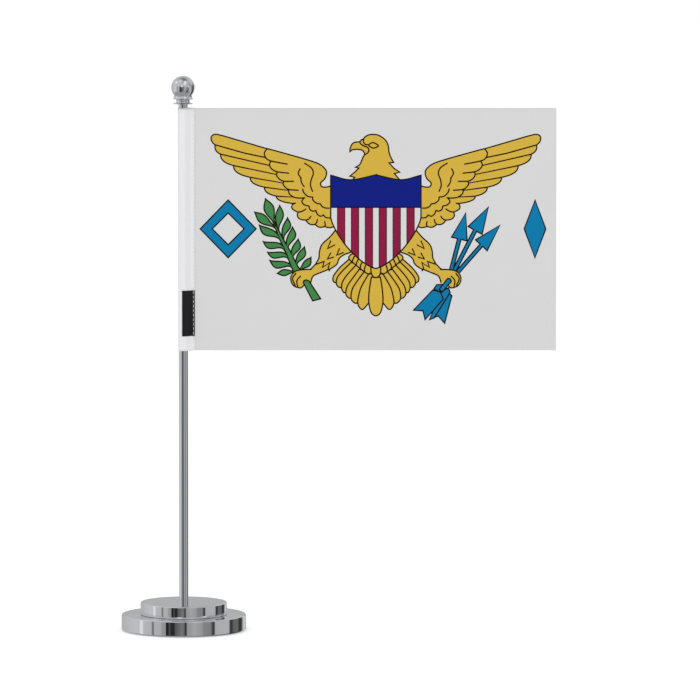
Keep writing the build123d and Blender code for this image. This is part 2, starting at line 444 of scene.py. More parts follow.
@dataclass
class Emblem:
    """A spread eagle behind a striped shield, with a sprig and three arrows, and two lozenges.

    All points are millimetres from the emblem's centre, x to the right and z up. What is the same
    on both sides is given for the left one.

    Attributes:
        stripes: How many upright stripes the shield has, the first and last pale.
        shield_half_width: Half the shield's width at its straight sides.
        stripe_edge: The width of the dark line at each side of a stripe.
        chief_bottom: The lower edge of the shield's plain upper part.
    """

    stripes: int = 13
    shield_half_width: float = 26.0
    stripe_edge: float = 0.4
    chief_bottom: float = 12.5

    def draw(self) -> Drawing:
        """Draws the whole emblem, the furthest part first."""
        drawing = Drawing()
        for drawing.side in (1, -1):
            self._wing(drawing)
            self._tail(drawing)
            self._leg(drawing)
        drawing.side = 1
        self._middle_of_tail(drawing)
        self._sprig(drawing)
        self._arrow_heads(drawing)
        for drawing.side in (1, -1):
            self._claw(drawing)
        drawing.side = 1
        self._stem_end(drawing)
        self._arrow_tails(drawing)
        self._head(drawing)
        self._shield(drawing)
        self._lozenges(drawing)
        return drawing

    def _wing(self, drawing: Drawing) -> None:
        """Seven long feathers, the lowest first, then the arm with its short rounded feathers."""
        tips = np.array(
            [(-95.3, 52), (-92.6, 48.4), (-89.4, 43.2), (-81.9, 36.6), (-72.3, 29.8), (-64.1, 24.1)]
            + [(-57.2, 18.9), (-48.2, 14.7)]
        )
        roots = np.array(
            [(-61, 49), (-60, 40.4), (-58, 35.9), (-55, 31), (-51, 26.1), (-47, 21.8)]
            + [(-41, 18), (-41, 14.6)]
        )
        for number in range(6, 0, -1):
            tip, free_end = tips[number], tips[number + 1]
            pull = (tip[0] - 0.5, free_end[1] + 0.3 * (tip[1] - free_end[1]))
            above = (tips[number - 1] + roots[number - 1]) / 2
            outline = np.vstack(
                [roots[number + 1], bend(free_end, pull, tip)[:-1], tip, tip + (3, 0.8), above]
                + [roots[number]]
            )
            drawing.edged(outline, Ink.GOLD)
        end = curve((-92.6, 48.6), (-94.1, 50), (-94.9, 52), (-94.4, 53.8), (-92.2, 54.7),
                    (-87.6, 53.7))
        rest = [(-63.6, 46.6), (-55, 44), (-57, 40), (-63.8, 41.3), (-75.6, 43.8)]
        drawing.edged(np.vstack([end, rest]), Ink.GOLD)
        coverts = (
            ((-62.5, 46.4), (-64.2, 43.9), (-63.3, 41), (-60.4, 39.3), (-51, 37.4)),
            ((-60.4, 39.3), (-61.3, 37), (-59.8, 34.5), (-56.7, 33), (-50.1, 32.2)),
            ((-56.7, 33), (-57.2, 31.2), (-55.7, 28.9), (-53, 27.6), (-47.4, 27.5)),
            ((-53, 27.5), (-53.5, 26), (-52.1, 24), (-50.1, 22.8), (-44.7, 22.3)),
            ((-50.3, 22.5), (-49.9, 20.4), (-47.4, 18.4), (-44, 17.8), (-40.9, 18)),
        )
        row = (
            ((-41.3, 17.9), (-42.7, 15.9), (-41.3, 14), (-38.5, 13.1)),
            ((-38.5, 13.1), (-38, 11.2), (-36.2, 10.2), (-34.6, 10.7)),
            ((-34.6, 10.7), (-33.8, 8.6), (-32, 7.3), (-30.2, 7.9)),
            ((-30.2, 8.2), (-29.2, 6.8), (-26.8, 6.3), (-23, 6.8)),
        )
        lobes = (
            ((-46.2, 14.9), (-48.1, 14), (-48.2, 11.6), (-44.9, 9.6), (-40.3, 11.5)),
            ((-44.9, 9.6), (-45.2, 7.4), (-43.6, 5.6), (-40.3, 5), (-37.4, 7.3)),
            ((-40.3, 5), (-38.9, 3.2), (-36.9, 2.4), (-35.1, 2.6), (-33.7, 5.5)),
            ((-35.1, 2.6), (-33.3, 1.2), (-31.3, 0.9), (-29.5, 1.4), (-29.5, 4.2)),
            ((-29.5, 1.4), (-27.7, 0.8), (-25.8, 0.8), (-24, 1.4), (-21, 2)),
        )
        top = curve((-62.5, 46.4), (-53, 43.8), (-40.7, 40.3), (-32.9, 37.6), (-29.2, 34.6),
                    (-28.4, 32.2), (-29.4, 29), (-31.8, 26.6), (-31.3, 24.6), (-29.1, 24.1),
                    (-26, 24.8))
        lower = np.vstack([curve(*lobe[:4]) for lobe in lobes])
        left = np.vstack([curve(*covert[:4]) for covert in coverts])
        drawing.fill(np.vstack([top[::-1], left, lower, [(-22, 24)]]), Ink.GOLD)
        drawing.fill(ribbon(top, drawing.line), Ink.BROWN)
        for covert in (*coverts, *row):
            drawing.stroke(*covert)
        for lobe in lobes:
            drawing.stroke(*lobe[:4])
            drawing.stroke(lobe[3], (np.array(lobe[3]) + lobe[4]) / 2 + (0.35, -0.3), lobe[4])
        drawing.stroke((-42.3, 23.1), (-41.5, 21), (-39.2, 18.8), (-36.4, 18.4))
        drawing.stroke((-36.4, 18.4), (-36.2, 16.6), (-34.1, 14.8), (-32, 14.5))
        drawing.stroke((-32, 14.5), (-31, 13), (-29.2, 12.1), (-26.8, 12))
        drawing.stroke((-41.1, 38), (-37.2, 35.3), (-36, 32.1), (-37.3, 28.2), (-37.6, 24.8),
                       (-36.4, 21.6))
        drawing.stroke((-43.6, 34.8), (-44.7, 32.1), (-43, 29.2))
        drawing.stroke((-43.3, 29.6), (-42.8, 26.8), (-41.3, 24.4))

    def _tail(self, drawing: Drawing) -> None:
        """Half of the fan of tail feathers and of the ring of small scales above them."""
        feathers = (
            ((-15.4, -17.6), (-20.4, -22), (-23.7, -26.1), (-24.8, -28.7), (-24.3, -30.6)),
            ((-14.1, -19.3), (-19, -24.1), (-22.2, -28.2), (-22.8, -31.7), (-21.2, -33.9)),
            ((-11.6, -21.1), (-16.6, -26.7), (-19.3, -30.9), (-19.7, -34.6), (-18.5, -36.9)),
            ((-9.6, -23.5), (-14, -29.4), (-16.6, -33.5), (-17.3, -37.7), (-15.7, -40)),
            ((-6.9, -25), (-11, -30.6), (-13.7, -35.3), (-14.2, -40.6), (-11.9, -43.1)),
            ((-4.3, -26.4), (-8.1, -33), (-9.6, -37.4), (-10.4, -43.2), (-7.8, -46.7)),
        )
        ends = (
            (-22.9, -31.3), (-19.8, -33.8), (-17.5, -36.8), (-14.4, -40.1), (-10.5, -42.7),
            (-4.2, -43),
        )
        for feather, end in zip(feathers, ends):
            drawing.edged(np.vstack([curve(*feather, end), [(0, -25)]]), Ink.GOLD)
        ring = curve((-12.4, -14), (-14.7, -15.2), (-15.5, -17.3), (-11.6, -20.9), (-6.8, -24.7),
                     (-4.6, -26), (-3, -25.6))
        drawing.edged(np.vstack([ring, [(0, -25), (0, -18)]]), Ink.GOLD)
        for above, middle, below in (
            ((-12.4, -15.9), (-13.2, -17.6), (-13.6, -19.2)),
            ((-10, -17.4), (-11, -19.3), (-11.4, -21)),
            ((-7.8, -19.2), (-8.8, -21.1), (-8.9, -23.1)),
            ((-5.9, -21.1), (-6.5, -22.9), (-6.5, -24.7)),
        ):
            drawing.stroke(above, middle, below)

    def _middle_of_tail(self, drawing: Drawing) -> None:
        """The middle feather and the round scale above it."""
        middle = ((2.6, -28), (3.7, -35), (4.1, -42), (2.7, -48.4), (0, -50.3), (-2.7, -48.4))
        drawing.edged(curve(*middle, (-4.1, -42), (-3.7, -35), (-2.6, -28)), Ink.GOLD)
        scale = ((2.7, -20), (2.8, -24.7), (1.9, -27.2), (0, -28.3), (-1.9, -27.2), (-2.8, -24.7))
        drawing.edged(curve(*scale, (-2.7, -20)), Ink.GOLD)

    def _leg(self, drawing: Drawing) -> None:
        """A feathered thigh that narrows to the shin, with ticks for its feathers."""
        outer = curve((-21, 2), (-23.4, -1), (-26.6, -4.8), (-31, -9), (-32.5, -13.1),
                      (-32.8, -16.7), (-34.6, -20.3))
        shin = curve((-34.8, -20.5), (-37.6, -23.2), (-40.1, -23.8), (-43.7, -23.6))
        inner = curve((-37.5, -30.9), (-36.5, -27.4), (-32.5, -25.6), (-27.2, -23.4))
        thigh = curve((-26.8, -23.6), (-22.6, -20.6), (-21.2, -17.3), (-18.4, -15), (-14.4, -13.6))
        drawing.edged(np.vstack([outer, shin, [(-44, -29)], inner, thigh, [(-10, -6)]]), Ink.GOLD)
        for tick in (
            ((-26, -6.9), (-27.8, -11.4), (-23.7, -9.3)),
            ((-21, -11.4), (-22.5, -15.2), (-18.7, -13.7)),
            ((-26, -14), (-27.9, -17.4), (-24.4, -16.4)),
            ((-34.8, -20.6), (-29.8, -18.9), (-30.8, -22.3), (-26.5, -19.5), (-27.5, -22.6),
             (-26.7, -24.4)),
        ):
            drawing.stroke(*tick, straight=True)

    def _claw(self, drawing: Drawing) -> None:
        """A closed foot with three toes."""
        palm = curve((-37.2, -23.5), (-41.4, -23.6), (-46.1, -24.4), (-48.6, -26.9), (-49, -29.6),
                     (-47.8, -32.5), (-45.3, -33.9), (-42.4, -33.9), (-41, -31.6))
        wrist = curve((-37.6, -31.2), (-36.4, -27.6), (-34.5, -26.4), (-33, -25.6))
        drawing.fill(np.vstack([palm, wrist, [(-34, -23)]]), Ink.GOLD)
        drawing.stroke(*palm[::3])
        drawing.stroke(*wrist[::2])
        drawing.stroke((-46.1, -25.7), (-48, -28.8), (-46.5, -32.9))
        drawing.stroke((-43.4, -27.3), (-45.5, -30), (-45.1, -33.7))

    def _stem_end(self, drawing: Drawing) -> None:
        """The sprig's cut stem, where it leaves the foot."""
        stem = [(-41.8, -31.2), (-41.6, -30.2), (-40.3, -29.5), (-38.6, -30.1), (-31.8, -40.5)]
        drawing.edged([*stem, (-36.4, -41.7)], Ink.GREEN)

    def _head(self, drawing: Drawing) -> None:
        """The neck and head, turned to the left, with four tufts, a hooked beak and an eye.

        The first points of left are under the shield, and so is the last of right.
        """
        left = ((-18, 24), (-13.6, 28.1), (-12.2, 29.8), (-15, 30.5), (-12, 32.9), (-9.8, 35.2))
        face = curve((-11.8, 35.6), (-9.7, 36.8), (-8.6, 38.4), (-7.5, 41.2), (-6.4, 43.1))
        mouth = curve((-6.5, 43.4), (-7, 44.6), (-8.4, 45.7), (-10.8, 46), (-13.6, 45.8))
        beak = curve((-14.9, 44.6), (-14.8, 46.4), (-13.9, 48.7), (-12.3, 50), (-9.5, 50.3))
        crown = curve((-9, 50.6), (-8.4, 51.4), (-7.2, 52), (-6.2, 53.2), (-4.2, 54.3),
                      (-1.4, 54.6), (1.3, 54.2), (4, 52.7), (6, 50.6), (7.2, 47.8),
                      (7.6, 44.2), (8.7, 41.2), (10.2, 38.4))
        right = ((7.6, 38.1), (10.4, 35), (13.8, 32.8), (10.6, 32), (13.7, 28.4), (18, 24))
        outline = np.vstack([left, face, mouth, beak, crown, right, [(0, 20)]])
        drawing.edged(outline, Ink.GOLD)
        drawing.stroke((-9.2, 50.4), (-8.8, 49.2), (-6.7, 47.8), (-4.9, 47.2), (-4, 45.8),
                       (-4.6, 44), (-6.3, 42.9))
        drawing.stroke((-7.1, 52), (-7.1, 50.1), (-6.2, 48.9), (-4.2, 48.5))
        eye = curve((-4.2, 48.5), (-2, 49.9), (-0.5, 49.5), (1.5, 48.1), (-0.1, 47), (-1.6, 46.7),
                    (-3.1, 47.4), closed=True)
        drawing.edged(eye, Ink.GOLD)

    def _shield(self, drawing: Drawing) -> None:
        """A shield with a plain chief above upright stripes.

        Below its straight sides, its half width at u of the way down is the full one times
        (1 - u^1.35)^0.69. Its top dips between the corners and the middle.
        """
        half = self.shield_half_width
        u = np.concatenate([np.linspace(0, 0.8, 20), 1 - 0.2 * np.linspace(1, 0, 16)[1:] ** 2])
        side = np.stack([half * (1 - u**1.35) ** 0.69, 6.6 - 29.5 * u], axis=-1)
        right_top = curve((half, 31), (14.4, 28.4), (0, 31.2))
        top = np.vstack([right_top, curve((0, 31.2), (-14.4, 28.4), (-half, 31))])
        outline = np.vstack([side[::-1], top, (side * (-1, 1))[:-1]])
        drawing.edged(outline, Ink.CLOTH)
        inside = grown(outline, -drawing.line / 2)
        width = 2 * half / self.stripes
        for number in range(1, self.stripes, 2):
            left = -half + number * width
            for margin, ink in ((self.stripe_edge, Ink.BROWN), (0.0, Ink.CRIMSON)):
                stripe = self._upright(inside, left - margin, left + width + margin)
                drawing.fill(stripe, ink)
        low = self.chief_bottom
        chief = inside[inside[:, 1] > low]
        drawing.fill(np.vstack([[(half - 0.3, low)], chief, [(0.3 - half, low)]]), Ink.NAVY)
        drawing.stroke((0.2 - half, low), (half - 0.2, low), straight=True)

    def _upright(self, shield: np.ndarray, left: float, right: float) -> np.ndarray:
        """The part of the shield between two upright lines, below the chief.

        Args:
            shield: The shield's outline, whose lower half is walked for the stripe's foot.
            left: The stripe's left edge.
            right: The stripe's right edge.

        Returns:
            The stripe's outline: straight above, and following the shield's edge below.
        """
        low = shield[shield[:, 1] < 8]
        low = low[np.argsort(low[:, 0])]
        x = np.linspace(left, right, 6)
        foot = np.interp(x, low[:, 0], low[:, 1])
        return np.vstack(
            [np.stack([x, foot], axis=-1), [(right, self.chief_bottom), (left, self.chief_bottom)]]
        )

    def _sprig(self, drawing: Drawing) -> None:
        """A leafy sprig with pointed leaves on both sides of a bowed stem."""
        stem = curve((-57.9, 1.6), (-56.8, -0.7), (-53.9, -7), (-50.6, -13.3), (-47.9, -19.6),
                     (-45, -25.5))
        leaves = (
            ((-58, 1.6), (-63.6, 17.4), 5.6, 0), ((-56.8, 0.2), (-69.8, 9.7), 4.9, 0, 0.6),
            ((-53.7, -8.2), (-67.2, 2.2), 4.6, -0.9, -0.5),
            ((-51.2, -14.7), (-65, -7.3), 4.1, -1.3, -1.5),
            ((-48.9, -20.1), (-62.5, -13.5), 3.9, -1.3, -1.9),
            ((-46.5, -23.6), (-61.2, -18.2), 4.2, -1.1, -0.2),
            ((-46, -24.5), (-56.8, -25.8), 3.5, 0),
            ((-56.3, -2.3), (-55.4, 13.5), 4.4, 0.3), ((-53.4, -7.4), (-50.9, 6.4), 4.2, 0.6),
            ((-50.9, -13.6), (-48.1, 1.1), 4.3, 0.8), ((-48.5, -18.6), (-44.8, -5.9), 4.2, 0.6),
            ((-46.5, -22.8), (-41.2, -10.4), 4, 0.5),
            ((-44.7, -24.6), (-37.4, -16.5), 3.8, 0.2, -0.6),
        )
        drawing.joined([ribbon(stem, 1.1, 3.9), *(leaf(*shape) for shape in leaves)], Ink.GREEN)

    def _arrow_heads(self, drawing: Drawing) -> None:
        """Three arrows that spread from the foot to their barbed heads."""
        heads = (
            ((51.8, 9.2), (48.1, -5.9), (43.4, -24)), ((64.9, 12.7), (57.2, -0.9), (45.1, -24.5)),
            ((71.5, 2.1), (60.8, -9.5), (46.8, -25.5)),
        )
        for tip, base, foot in np.array(heads):
            along = (tip - base) / np.linalg.norm(tip - base)
            across = np.array([-along[1], along[0]])
            head = np.array([tip, base + across * 4.6, base - across * 4.6])
            shaft = ribbon(np.array([base + along, foot]), 2)
            drawing.joined([head, shaft], Ink.SKY)

    def _arrow_tails(self, drawing: Drawing) -> None:
        """The arrows' vanes below the foot, and the shaft that lies over it."""
        for vane in (
            ((35, -32.4), (38.8, -32.2), (37, -36.5), (33.4, -35)),
            ((41.6, -36.6), (43.8, -38.8), (39.7, -54.7), (36, -50.5), (33.4, -51.6)),
            ((38, -36), (41.9, -34.2), (42.8, -36.9), (33.6, -51.6), (30.9, -52.7)),
            ((32.9, -35.4), (37.2, -36.6), (38.9, -40.6), (28.4, -52.6), (27.2, -47.5),
             (21.7, -47.1)),
            ((41.5, -28.7), (42.8, -29), (43.5, -30.4), (38.4, -36.6), (36.4, -35)),
        ):
            drawing.edged(vane, Ink.SKY)

    def _lozenges(self, drawing: Drawing) -> None:
        """An open lozenge on the left and a slender solid one on the right."""
        for centre, half, hole in (((-85.1, 0), (16.1, 16.7), 9.2), ((91.7, 0), (6.2, 16.7), 0)):
            corners = np.array([(1, 0), (0, 1), (-1, 0), (0, -1)])
            drawing.edged(centre + corners * half, Ink.SKY)
            if hole:
                inner = centre + corners * hole
                drawing.fill(grown(inner, drawing.line / 2), Ink.BROWN)
                drawing.fill(grown(inner, -drawing.line / 2), Ink.CLOTH)


# ---------------------------------------------------------------- finishes


@dataclass(frozen=True)
class Finish:
    """What every finish shares.

    Attributes:
        name: The finish's common name.
        slot: The record's material slot that it stands for.
        colour: Its colour as sRGB hex.
        roughness: How much it blurs what it reflects.
    """

    name: str
    slot: str
    colour: str
    roughness: float

    @cache
    def material(self) -> bpy.types.Material:
        """Makes the finish's material once, and returns it each time."""
        made = bpy.data.materials.new(self.name)
        tree = emptied(made)
        add_node(tree, "ShaderNodeOutputMaterial", {"Surface": self.surface(tree)})
        return made

    def surface(self, tree: bpy.types.NodeTree) -> bpy.types.NodeSocket:
        """Adds the nodes of the finish and returns the shader's output."""
        raise NotImplementedError


@dataclass(frozen=True)
class Metal(Finish):
    """A bare or plated metal.

    Attributes:
        grain: The size of its unevenness in millimetres.
        unevenness: How far the roughness goes up and down.
        relief: How deep the unevenness looks.
        flattened: Whether the grain runs round the axis, as turning leaves it.
    """

    grain: float
    unevenness: float
    relief: float
    flattened: bool = False

    def surface(self, tree: bpy.types.NodeTree) -> bpy.types.NodeSocket:
        """A metal whose roughness and height follow a fine noise."""
        stretch = (1, 1, 12) if self.flattened else (1, 1, 1)
        own = add_node(tree, "ShaderNodeTexCoord").outputs["Object"]
        place = add_node(tree, "ShaderNodeMapping", {"Vector": own, "Scale": stretch})
        noise = add_node(
            tree, "ShaderNodeTexNoise",
            {"Vector": place.outputs[0], "Scale": 1000 / self.grain, "Detail": 3.0},
        ).outputs["Fac"]
        blur = add_node(
            tree, "ShaderNodeMapRange",
            {
                "Value": noise,
                "To Min": self.roughness - self.unevenness,
                "To Max": self.roughness + self.unevenness,
            },
        )
        bump = add_node(
            tree, "ShaderNodeBump", {"Height": noise, "Strength": self.relief, "Distance": 0.00002}
        )
        return add_node(
            tree, "ShaderNodeBsdfPrincipled",
            {
                "Base Color": linear(self.colour),
                "Metallic": 1.0,
                "Roughness": blur.outputs["Result"],
                "Normal": bump.outputs[0],
            },
        ).outputs[0]


@dataclass(frozen=True)
class Cloth(Finish):
    """A plain weave.

    Attributes:
        pitch: The distance between threads in millimetres.
        gap_shade: How much darker the gaps between threads are painted: painted shade where the
            weave lies low.
        relief: How deep the weave looks.
        ribs: How much closer the threads that run across are, as in a ribbon.
        printed: Whether the colour is read from the piece's "ink".
    """

    pitch: float
    gap_shade: float
    relief: float
    ribs: float = 1.0
    printed: bool = False

    def surface(self, tree: bpy.types.NodeTree) -> bpy.types.NodeSocket:
        """A weave of upright and level threads, with painted shade in the gaps between them and
        faint mottling where yarns vary.

        A wave texture's bands lie pi / (10 scale) apart, which gives the scale for the pitch.
        """
        place = add_node(tree, "ShaderNodeTexCoord").outputs["Object"]
        threads = [
            add_node(
                tree, "ShaderNodeTexWave",
                {"Vector": place, "Scale": math.pi / (10 * self.pitch * MM) * finer},
                bands_direction=direction,
            ).outputs["Fac"]
            for direction, finer in (("X", 1.0), ("Z", self.ribs))
        ]
        weave = add_node(
            tree, "ShaderNodeMath", {0: threads[0], 1: threads[1]}, operation="MULTIPLY"
        ).outputs[0]
        mottle = add_node(
            tree, "ShaderNodeTexNoise", {"Vector": place, "Scale": 45.0, "Detail": 4.0}
        ).outputs["Fac"]
        # painted shade: the colour is darker where the weave's height is low, in the gaps between
        # threads
        darker, varied = (
            add_node(
                tree, "ShaderNodeMapRange", {"Value": pattern, "To Min": low, "To Max": high}
            ).outputs["Result"]
            for pattern, low, high in ((weave, 1 - self.gap_shade, 1.0), (mottle, 0.985, 1.015))
        )
        shade = add_node(
            tree, "ShaderNodeMath", {0: darker, 1: varied}, operation="MULTIPLY"
        ).outputs[0]
        ink = linear(self.colour)[:3]
        if self.printed:
            ink = add_node(tree, "ShaderNodeVertexColor", layer_name="ink").outputs["Color"]
        colour = add_node(tree, "ShaderNodeVectorMath", {0: ink, "Scale": shade}, operation="SCALE")
        bump = add_node(
            tree, "ShaderNodeBump", {"Height": weave, "Strength": self.relief, "Distance": 0.0001}
        )
        return add_node(
            tree, "ShaderNodeBsdfPrincipled",
            {
                "Base Color": colour.outputs[0],
                "Roughness": self.roughness,
                "Specular IOR Level": 0.08,
                "Sheen Weight": 0.02,
                "Sheen Roughness": 0.5,
                "Normal": bump.outputs[0],
            },
        ).outputs[0]


@dataclass(frozen=True)
class Elastomer(Finish):
    """A rubber, foam or silicone.

    Attributes:
        cell: The size of its pores or ripples in millimetres.
        relief: How deep they look.
        clear: How much light passes through it.
    """

    cell: float
    relief: float
    clear: float = 0.0

    def surface(self, tree: bpy.types.NodeTree) -> bpy.types.NodeSocket:
        """A soft surface whose height follows small cells, with its colour painted darker in their
        hollows and lighter on their rims: painted shade and light that follow the height.
        """
        place = add_node(tree, "ShaderNodeTexCoord").outputs["Object"]
        cells = add_node(
            tree, "ShaderNodeTexVoronoi", {"Vector": place, "Scale": 1000 / self.cell},
            feature="SMOOTH_F1",
        ).outputs["Distance"]
        # painted shade and light: the colour follows the cells' height, 0.8 in the hollows to 1.15
        # on the rims
        shade = add_node(
            tree, "ShaderNodeMapRange", {"Value": cells, "To Min": 0.8, "To Max": 1.15}
        ).outputs["Result"]
        colour = add_node(
            tree, "ShaderNodeVectorMath", {0: linear(self.colour)[:3], "Scale": shade},
            operation="SCALE",
        )
        bump = add_node(
            tree, "ShaderNodeBump", {"Height": cells, "Strength": self.relief, "Distance": 0.0001}
        )
        return add_node(
            tree, "ShaderNodeBsdfPrincipled",
            {
                "Base Color": colour.outputs[0],
                "Roughness": self.roughness,
                "IOR": 1.41,
                "Transmission Weight": self.clear,
                "Normal": bump.outputs[0],
            },
        ).outputs[0]


# Decorative chromium over nickel, buffed: a near mirror, a little bluish. Buffing leaves waves
# 9 mm long that hardly bend what it reflects.
CHROME = Metal("polished_chrome", "chrome", "#E5E7EB", 0.035, 9.0, 0.012, 0.05)
# Zinc-plated steel: grey and satin, with a grain of about 0.4 mm.
ZINC = Metal("zinc_plated_steel", "zinc_steel", "#B4B8BC", 0.34, 0.4, 0.08, 0.4)
# Machined brass: yellow, with turning marks 0.5 mm apart.
BRASS = Metal("machined_brass", "insert_brass", "#C7A55A", 0.28, 0.5, 0.06, 0.4, flattened=True)
# Closed-cell foam rubber: black and matt, with pores of 0.6 mm.
FOAM = Elastomer("foam_rubber", "pad_foam", "#202122", 0.92, 0.6, 0.6)
# Silicone: clear, a little cloudy, with a skin that ripples over 2 mm.
SILICONE = Elastomer("clear_silicone", "clear_silicone", "#E9ECEC", 0.3, 2.0, 0.2, clear=0.85)
# Dye-printed polyester: matt and smooth. Its threads are 0.2 mm apart and are drawn four times
# as coarse, or they wouldn't show.
PRINTED = Cloth("printed_polyester", "flag_polyester", Ink.CLOTH.value, 0.85, 0.8, 0.035, 0.12,
                printed=True)
# Unprinted polyester satin: whiter than the print's ground, with the same threads.
PLAIN = Cloth("plain_polyester", "sleeve_polyester", "#E6E6E8", 0.8, 0.8, 0.03, 0.12)
# Woven taffeta label: black, with ribs 0.35 mm apart drawn twice as coarse.
WOVEN = Cloth("woven_label", "label_ribbon", "#28282A", 0.55, 0.7, 0.45, 0.5, ribs=1.6)
# Spun polyester thread: its twist shows as small ridges.
THREAD = Cloth("sewing_thread", "sewing_thread", "#E4E4E4", 0.6, 0.35, 0.2, 0.3)


def thicken(piece: bpy.types.Object, thickness: float) -> None:
    """Gives a single surface its thickness in millimetres, half on each side."""
    solid = piece.modifiers.new("cloth_thickness", "SOLIDIFY")
    solid.thickness, solid.offset = thickness * MM, 0.0


def dress(
    piece: bpy.types.Object, finish: Finish, body: str | None = None, replaced: Sequence[str] = ()
) -> bpy.types.Object:
    """Gives a piece its finish and, if it is new, its body and the nodes that it stands for.

    Args:
        piece: The new piece, or a CAD node that stays.
        finish: What it is made of.
        body: The CAD body that a new piece rides on.
        replaced: The CAD nodes that it stands for.

    Returns:
        The piece.
    """
    piece.data.materials.clear()
    piece.data.materials.append(finish.material())
    if body:
        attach(piece, body)
        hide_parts(*replaced)
    LOG.info("%s: %s, %d faces", piece.name, finish.name, len(piece.data.polygons))
    return piece


# ---------------------------------------------------------------- the flag


@dataclass
class PrintedPanel:
    """The printed cloth, with three edges folded to the back.

    Attributes:
        left, right, bottom, top: The limits of the finished panel.
        seam: Where the sleeve's edge lies, and the level hems start.
        hem: How wide the folded edges are.
        thickness: The cloth's thickness.
        fold: The radius of a fold, at the middle of the cloth.
        swell: How far the free edge swings out of the panel's plane.
        wave: The length of that swing.
        pucker: How far the cloth puckers beside the hem's stitches.
        groove: How far the stitches pull it in.
        stitch_inset: How far the stitching lies from the edge.
        spacing: The distance between the cloth's own points.
        emblem_centre: Where the emblem's centre lies on it.
    """

    left: float = 4.7
    right: float = 214.9
    bottom: float = 162.6
    top: float = 302.9
    seam: float = 6.8
    hem: float = 3.0
    thickness: float = 0.22
    fold: float = 0.15
    swell: float = 0.45
    wave: float = 140.0
    pucker: float = 0.006
    groove: float = 0.012
    stitch_inset: float = 2.2
    spacing: float = 3.0
    emblem_centre: tuple[float, float] = (111.0, 233.0)

    @property
    def _fold_lines(self) -> tuple[float, float, float]:
        """Where the cloth starts to turn at the bottom, the free edge and the top."""
        reach = self.fold + self.thickness / 2
        return self.bottom + reach, self.right - reach, self.top - reach

    def swing(self, x: np.ndarray, z: np.ndarray) -> np.ndarray:
        """How far the cloth lies behind its flat plane.

        It is a sine over the wave, tilted a little with height, that grows with the square of the
        way to the free edge, and small puckers 7 mm long that fade away from the hem's stitches.
        """
        way = np.clip((x - self.seam) / (self.right - self.seam), 0, 1)
        sway = self.swell * way**2 * np.sin(2 * math.pi * x / self.wave + (z - self.bottom) / 55)
        pucker = self.pucker * np.exp(-(((self._inset(x, z) - self.stitch_inset) / 1.8) ** 2))
        return sway + pucker * np.sin(2 * math.pi * (x + z) / 7) * np.clip(way * 20, 0, 1)

    def folded(self, flat: np.ndarray) -> np.ndarray:
        """Folds the flat cloth.

        Past a fold line the cloth goes round half a circle and then back over itself. Between
        the fold lines it stays where it is. Then all of it swings, by how its own place does.

        Args:
            flat: Rows of x and z on the cloth before it is folded.

        Returns:
            Rows of x, y and z.
        """
        low, right, high = self._fold_lines
        x, x_back = self._turned(flat[:, 0], right)
        z, top_back = self._turned(flat[:, 1], high)
        mirrored, bottom_back = self._turned(low - flat[:, 1], 0.0)
        z = np.where(flat[:, 1] < low, low - mirrored, z)
        back = np.maximum(np.maximum(x_back, top_back), bottom_back)
        groove = self.groove * np.exp(-(((self._inset(x, z) - self.stitch_inset) / 0.35) ** 2))
        toward = np.where(back > self.fold, -groove, groove)
        return np.stack([x, back + toward + self.swing(x, z), z], axis=-1)

    def _turned(self, along: np.ndarray, line: float) -> tuple[np.ndarray, np.ndarray]:
        """Where a coordinate goes, and how far behind, once it passes a fold line."""
        past = np.maximum(along - line, 0)
        angle = np.minimum(past / self.fold, math.pi)
        beyond = np.maximum(past - math.pi * self.fold, 0)
        turned = np.minimum(along, line) + self.fold * np.sin(angle) - beyond
        return turned, self.fold * (1 - np.cos(angle))

    def _inset(self, x: np.ndarray, z: np.ndarray) -> np.ndarray:
        """How far a place lies inside the nearest hemmed edge."""
        return np.minimum(np.minimum(z - self.bottom, self.top - z), self.right - x)

    def _outline(self) -> np.ndarray:
        """The flat cloth's outline: notched at the seam, and cut at 45 degrees at two corners."""
        low, right, high = self._fold_lines
        out = self.hem + math.pi * self.fold
        return np.array(
            [(self.left, low), (self.seam, low), (self.seam, low - out), (right - out, low - out)]
            + [(right, low), (right + out, low + out), (right + out, high - out), (right, high)]
            + [(right - out, high + out), (self.seam, high + out), (self.seam, high)]
            + [(self.left, high)]
        )

    def _flat_points(self, layers: list[tuple[np.ndarray, Ink]]) -> tuple[list, list]:
        """The points and edges that the flat cloth is divided by.

        They are its outline, an even grid, level and upright rows of points where it folds and
        where its stitches pull it in, and the edge of every printed shape.
        """
        low, right, high = self._fold_lines
        out = self.hem + math.pi * self.fold
        folds = np.array([0, 0.25, 0.5, 0.75, 1]) * math.pi * self.fold
        flap = math.pi * self.fold - self.fold - self.thickness / 2
        insets = self.stitch_inset + np.array([-0.45, -0.2, 0, 0.2, 0.45])
        past = np.concatenate([folds, insets + flap])
        within = insets - self.fold - self.thickness / 2
        levels = np.concatenate([low - past, low + within, high - within, high + past])
        uprights = np.concatenate([right - within, right + past])
        between = np.arange(self.left, right, self.spacing)
        heights = np.arange(low, high, self.spacing)
        lines = [((self.left + 0.01, z), (right + out - 0.5, z)) for z in levels]
        lines += [((x, low - out + 0.5), (x, high + out - 0.5)) for x in uprights]
        loops = [self._outline()] + [outline for outline, _ in layers]
        points, edges, start = [], [], 0
        for line, closed in [(loop, True) for loop in loops] + [(line, False) for line in lines]:
            line = divided(line, self.spacing, closed)
            count = len(line)
            points.append(line)
            ends = np.arange(count if closed else count - 1)
            edges.append(np.stack([start + ends, start + (ends + 1) % count], axis=-1))
            start += count
        grid = np.stack(np.meshgrid(between[1:], heights[1:-1]), axis=-1).reshape(-1, 2)
        every = np.vstack([*points, grid])
        return [Vector(p) for p in every.tolist()], np.vstack(edges).tolist()

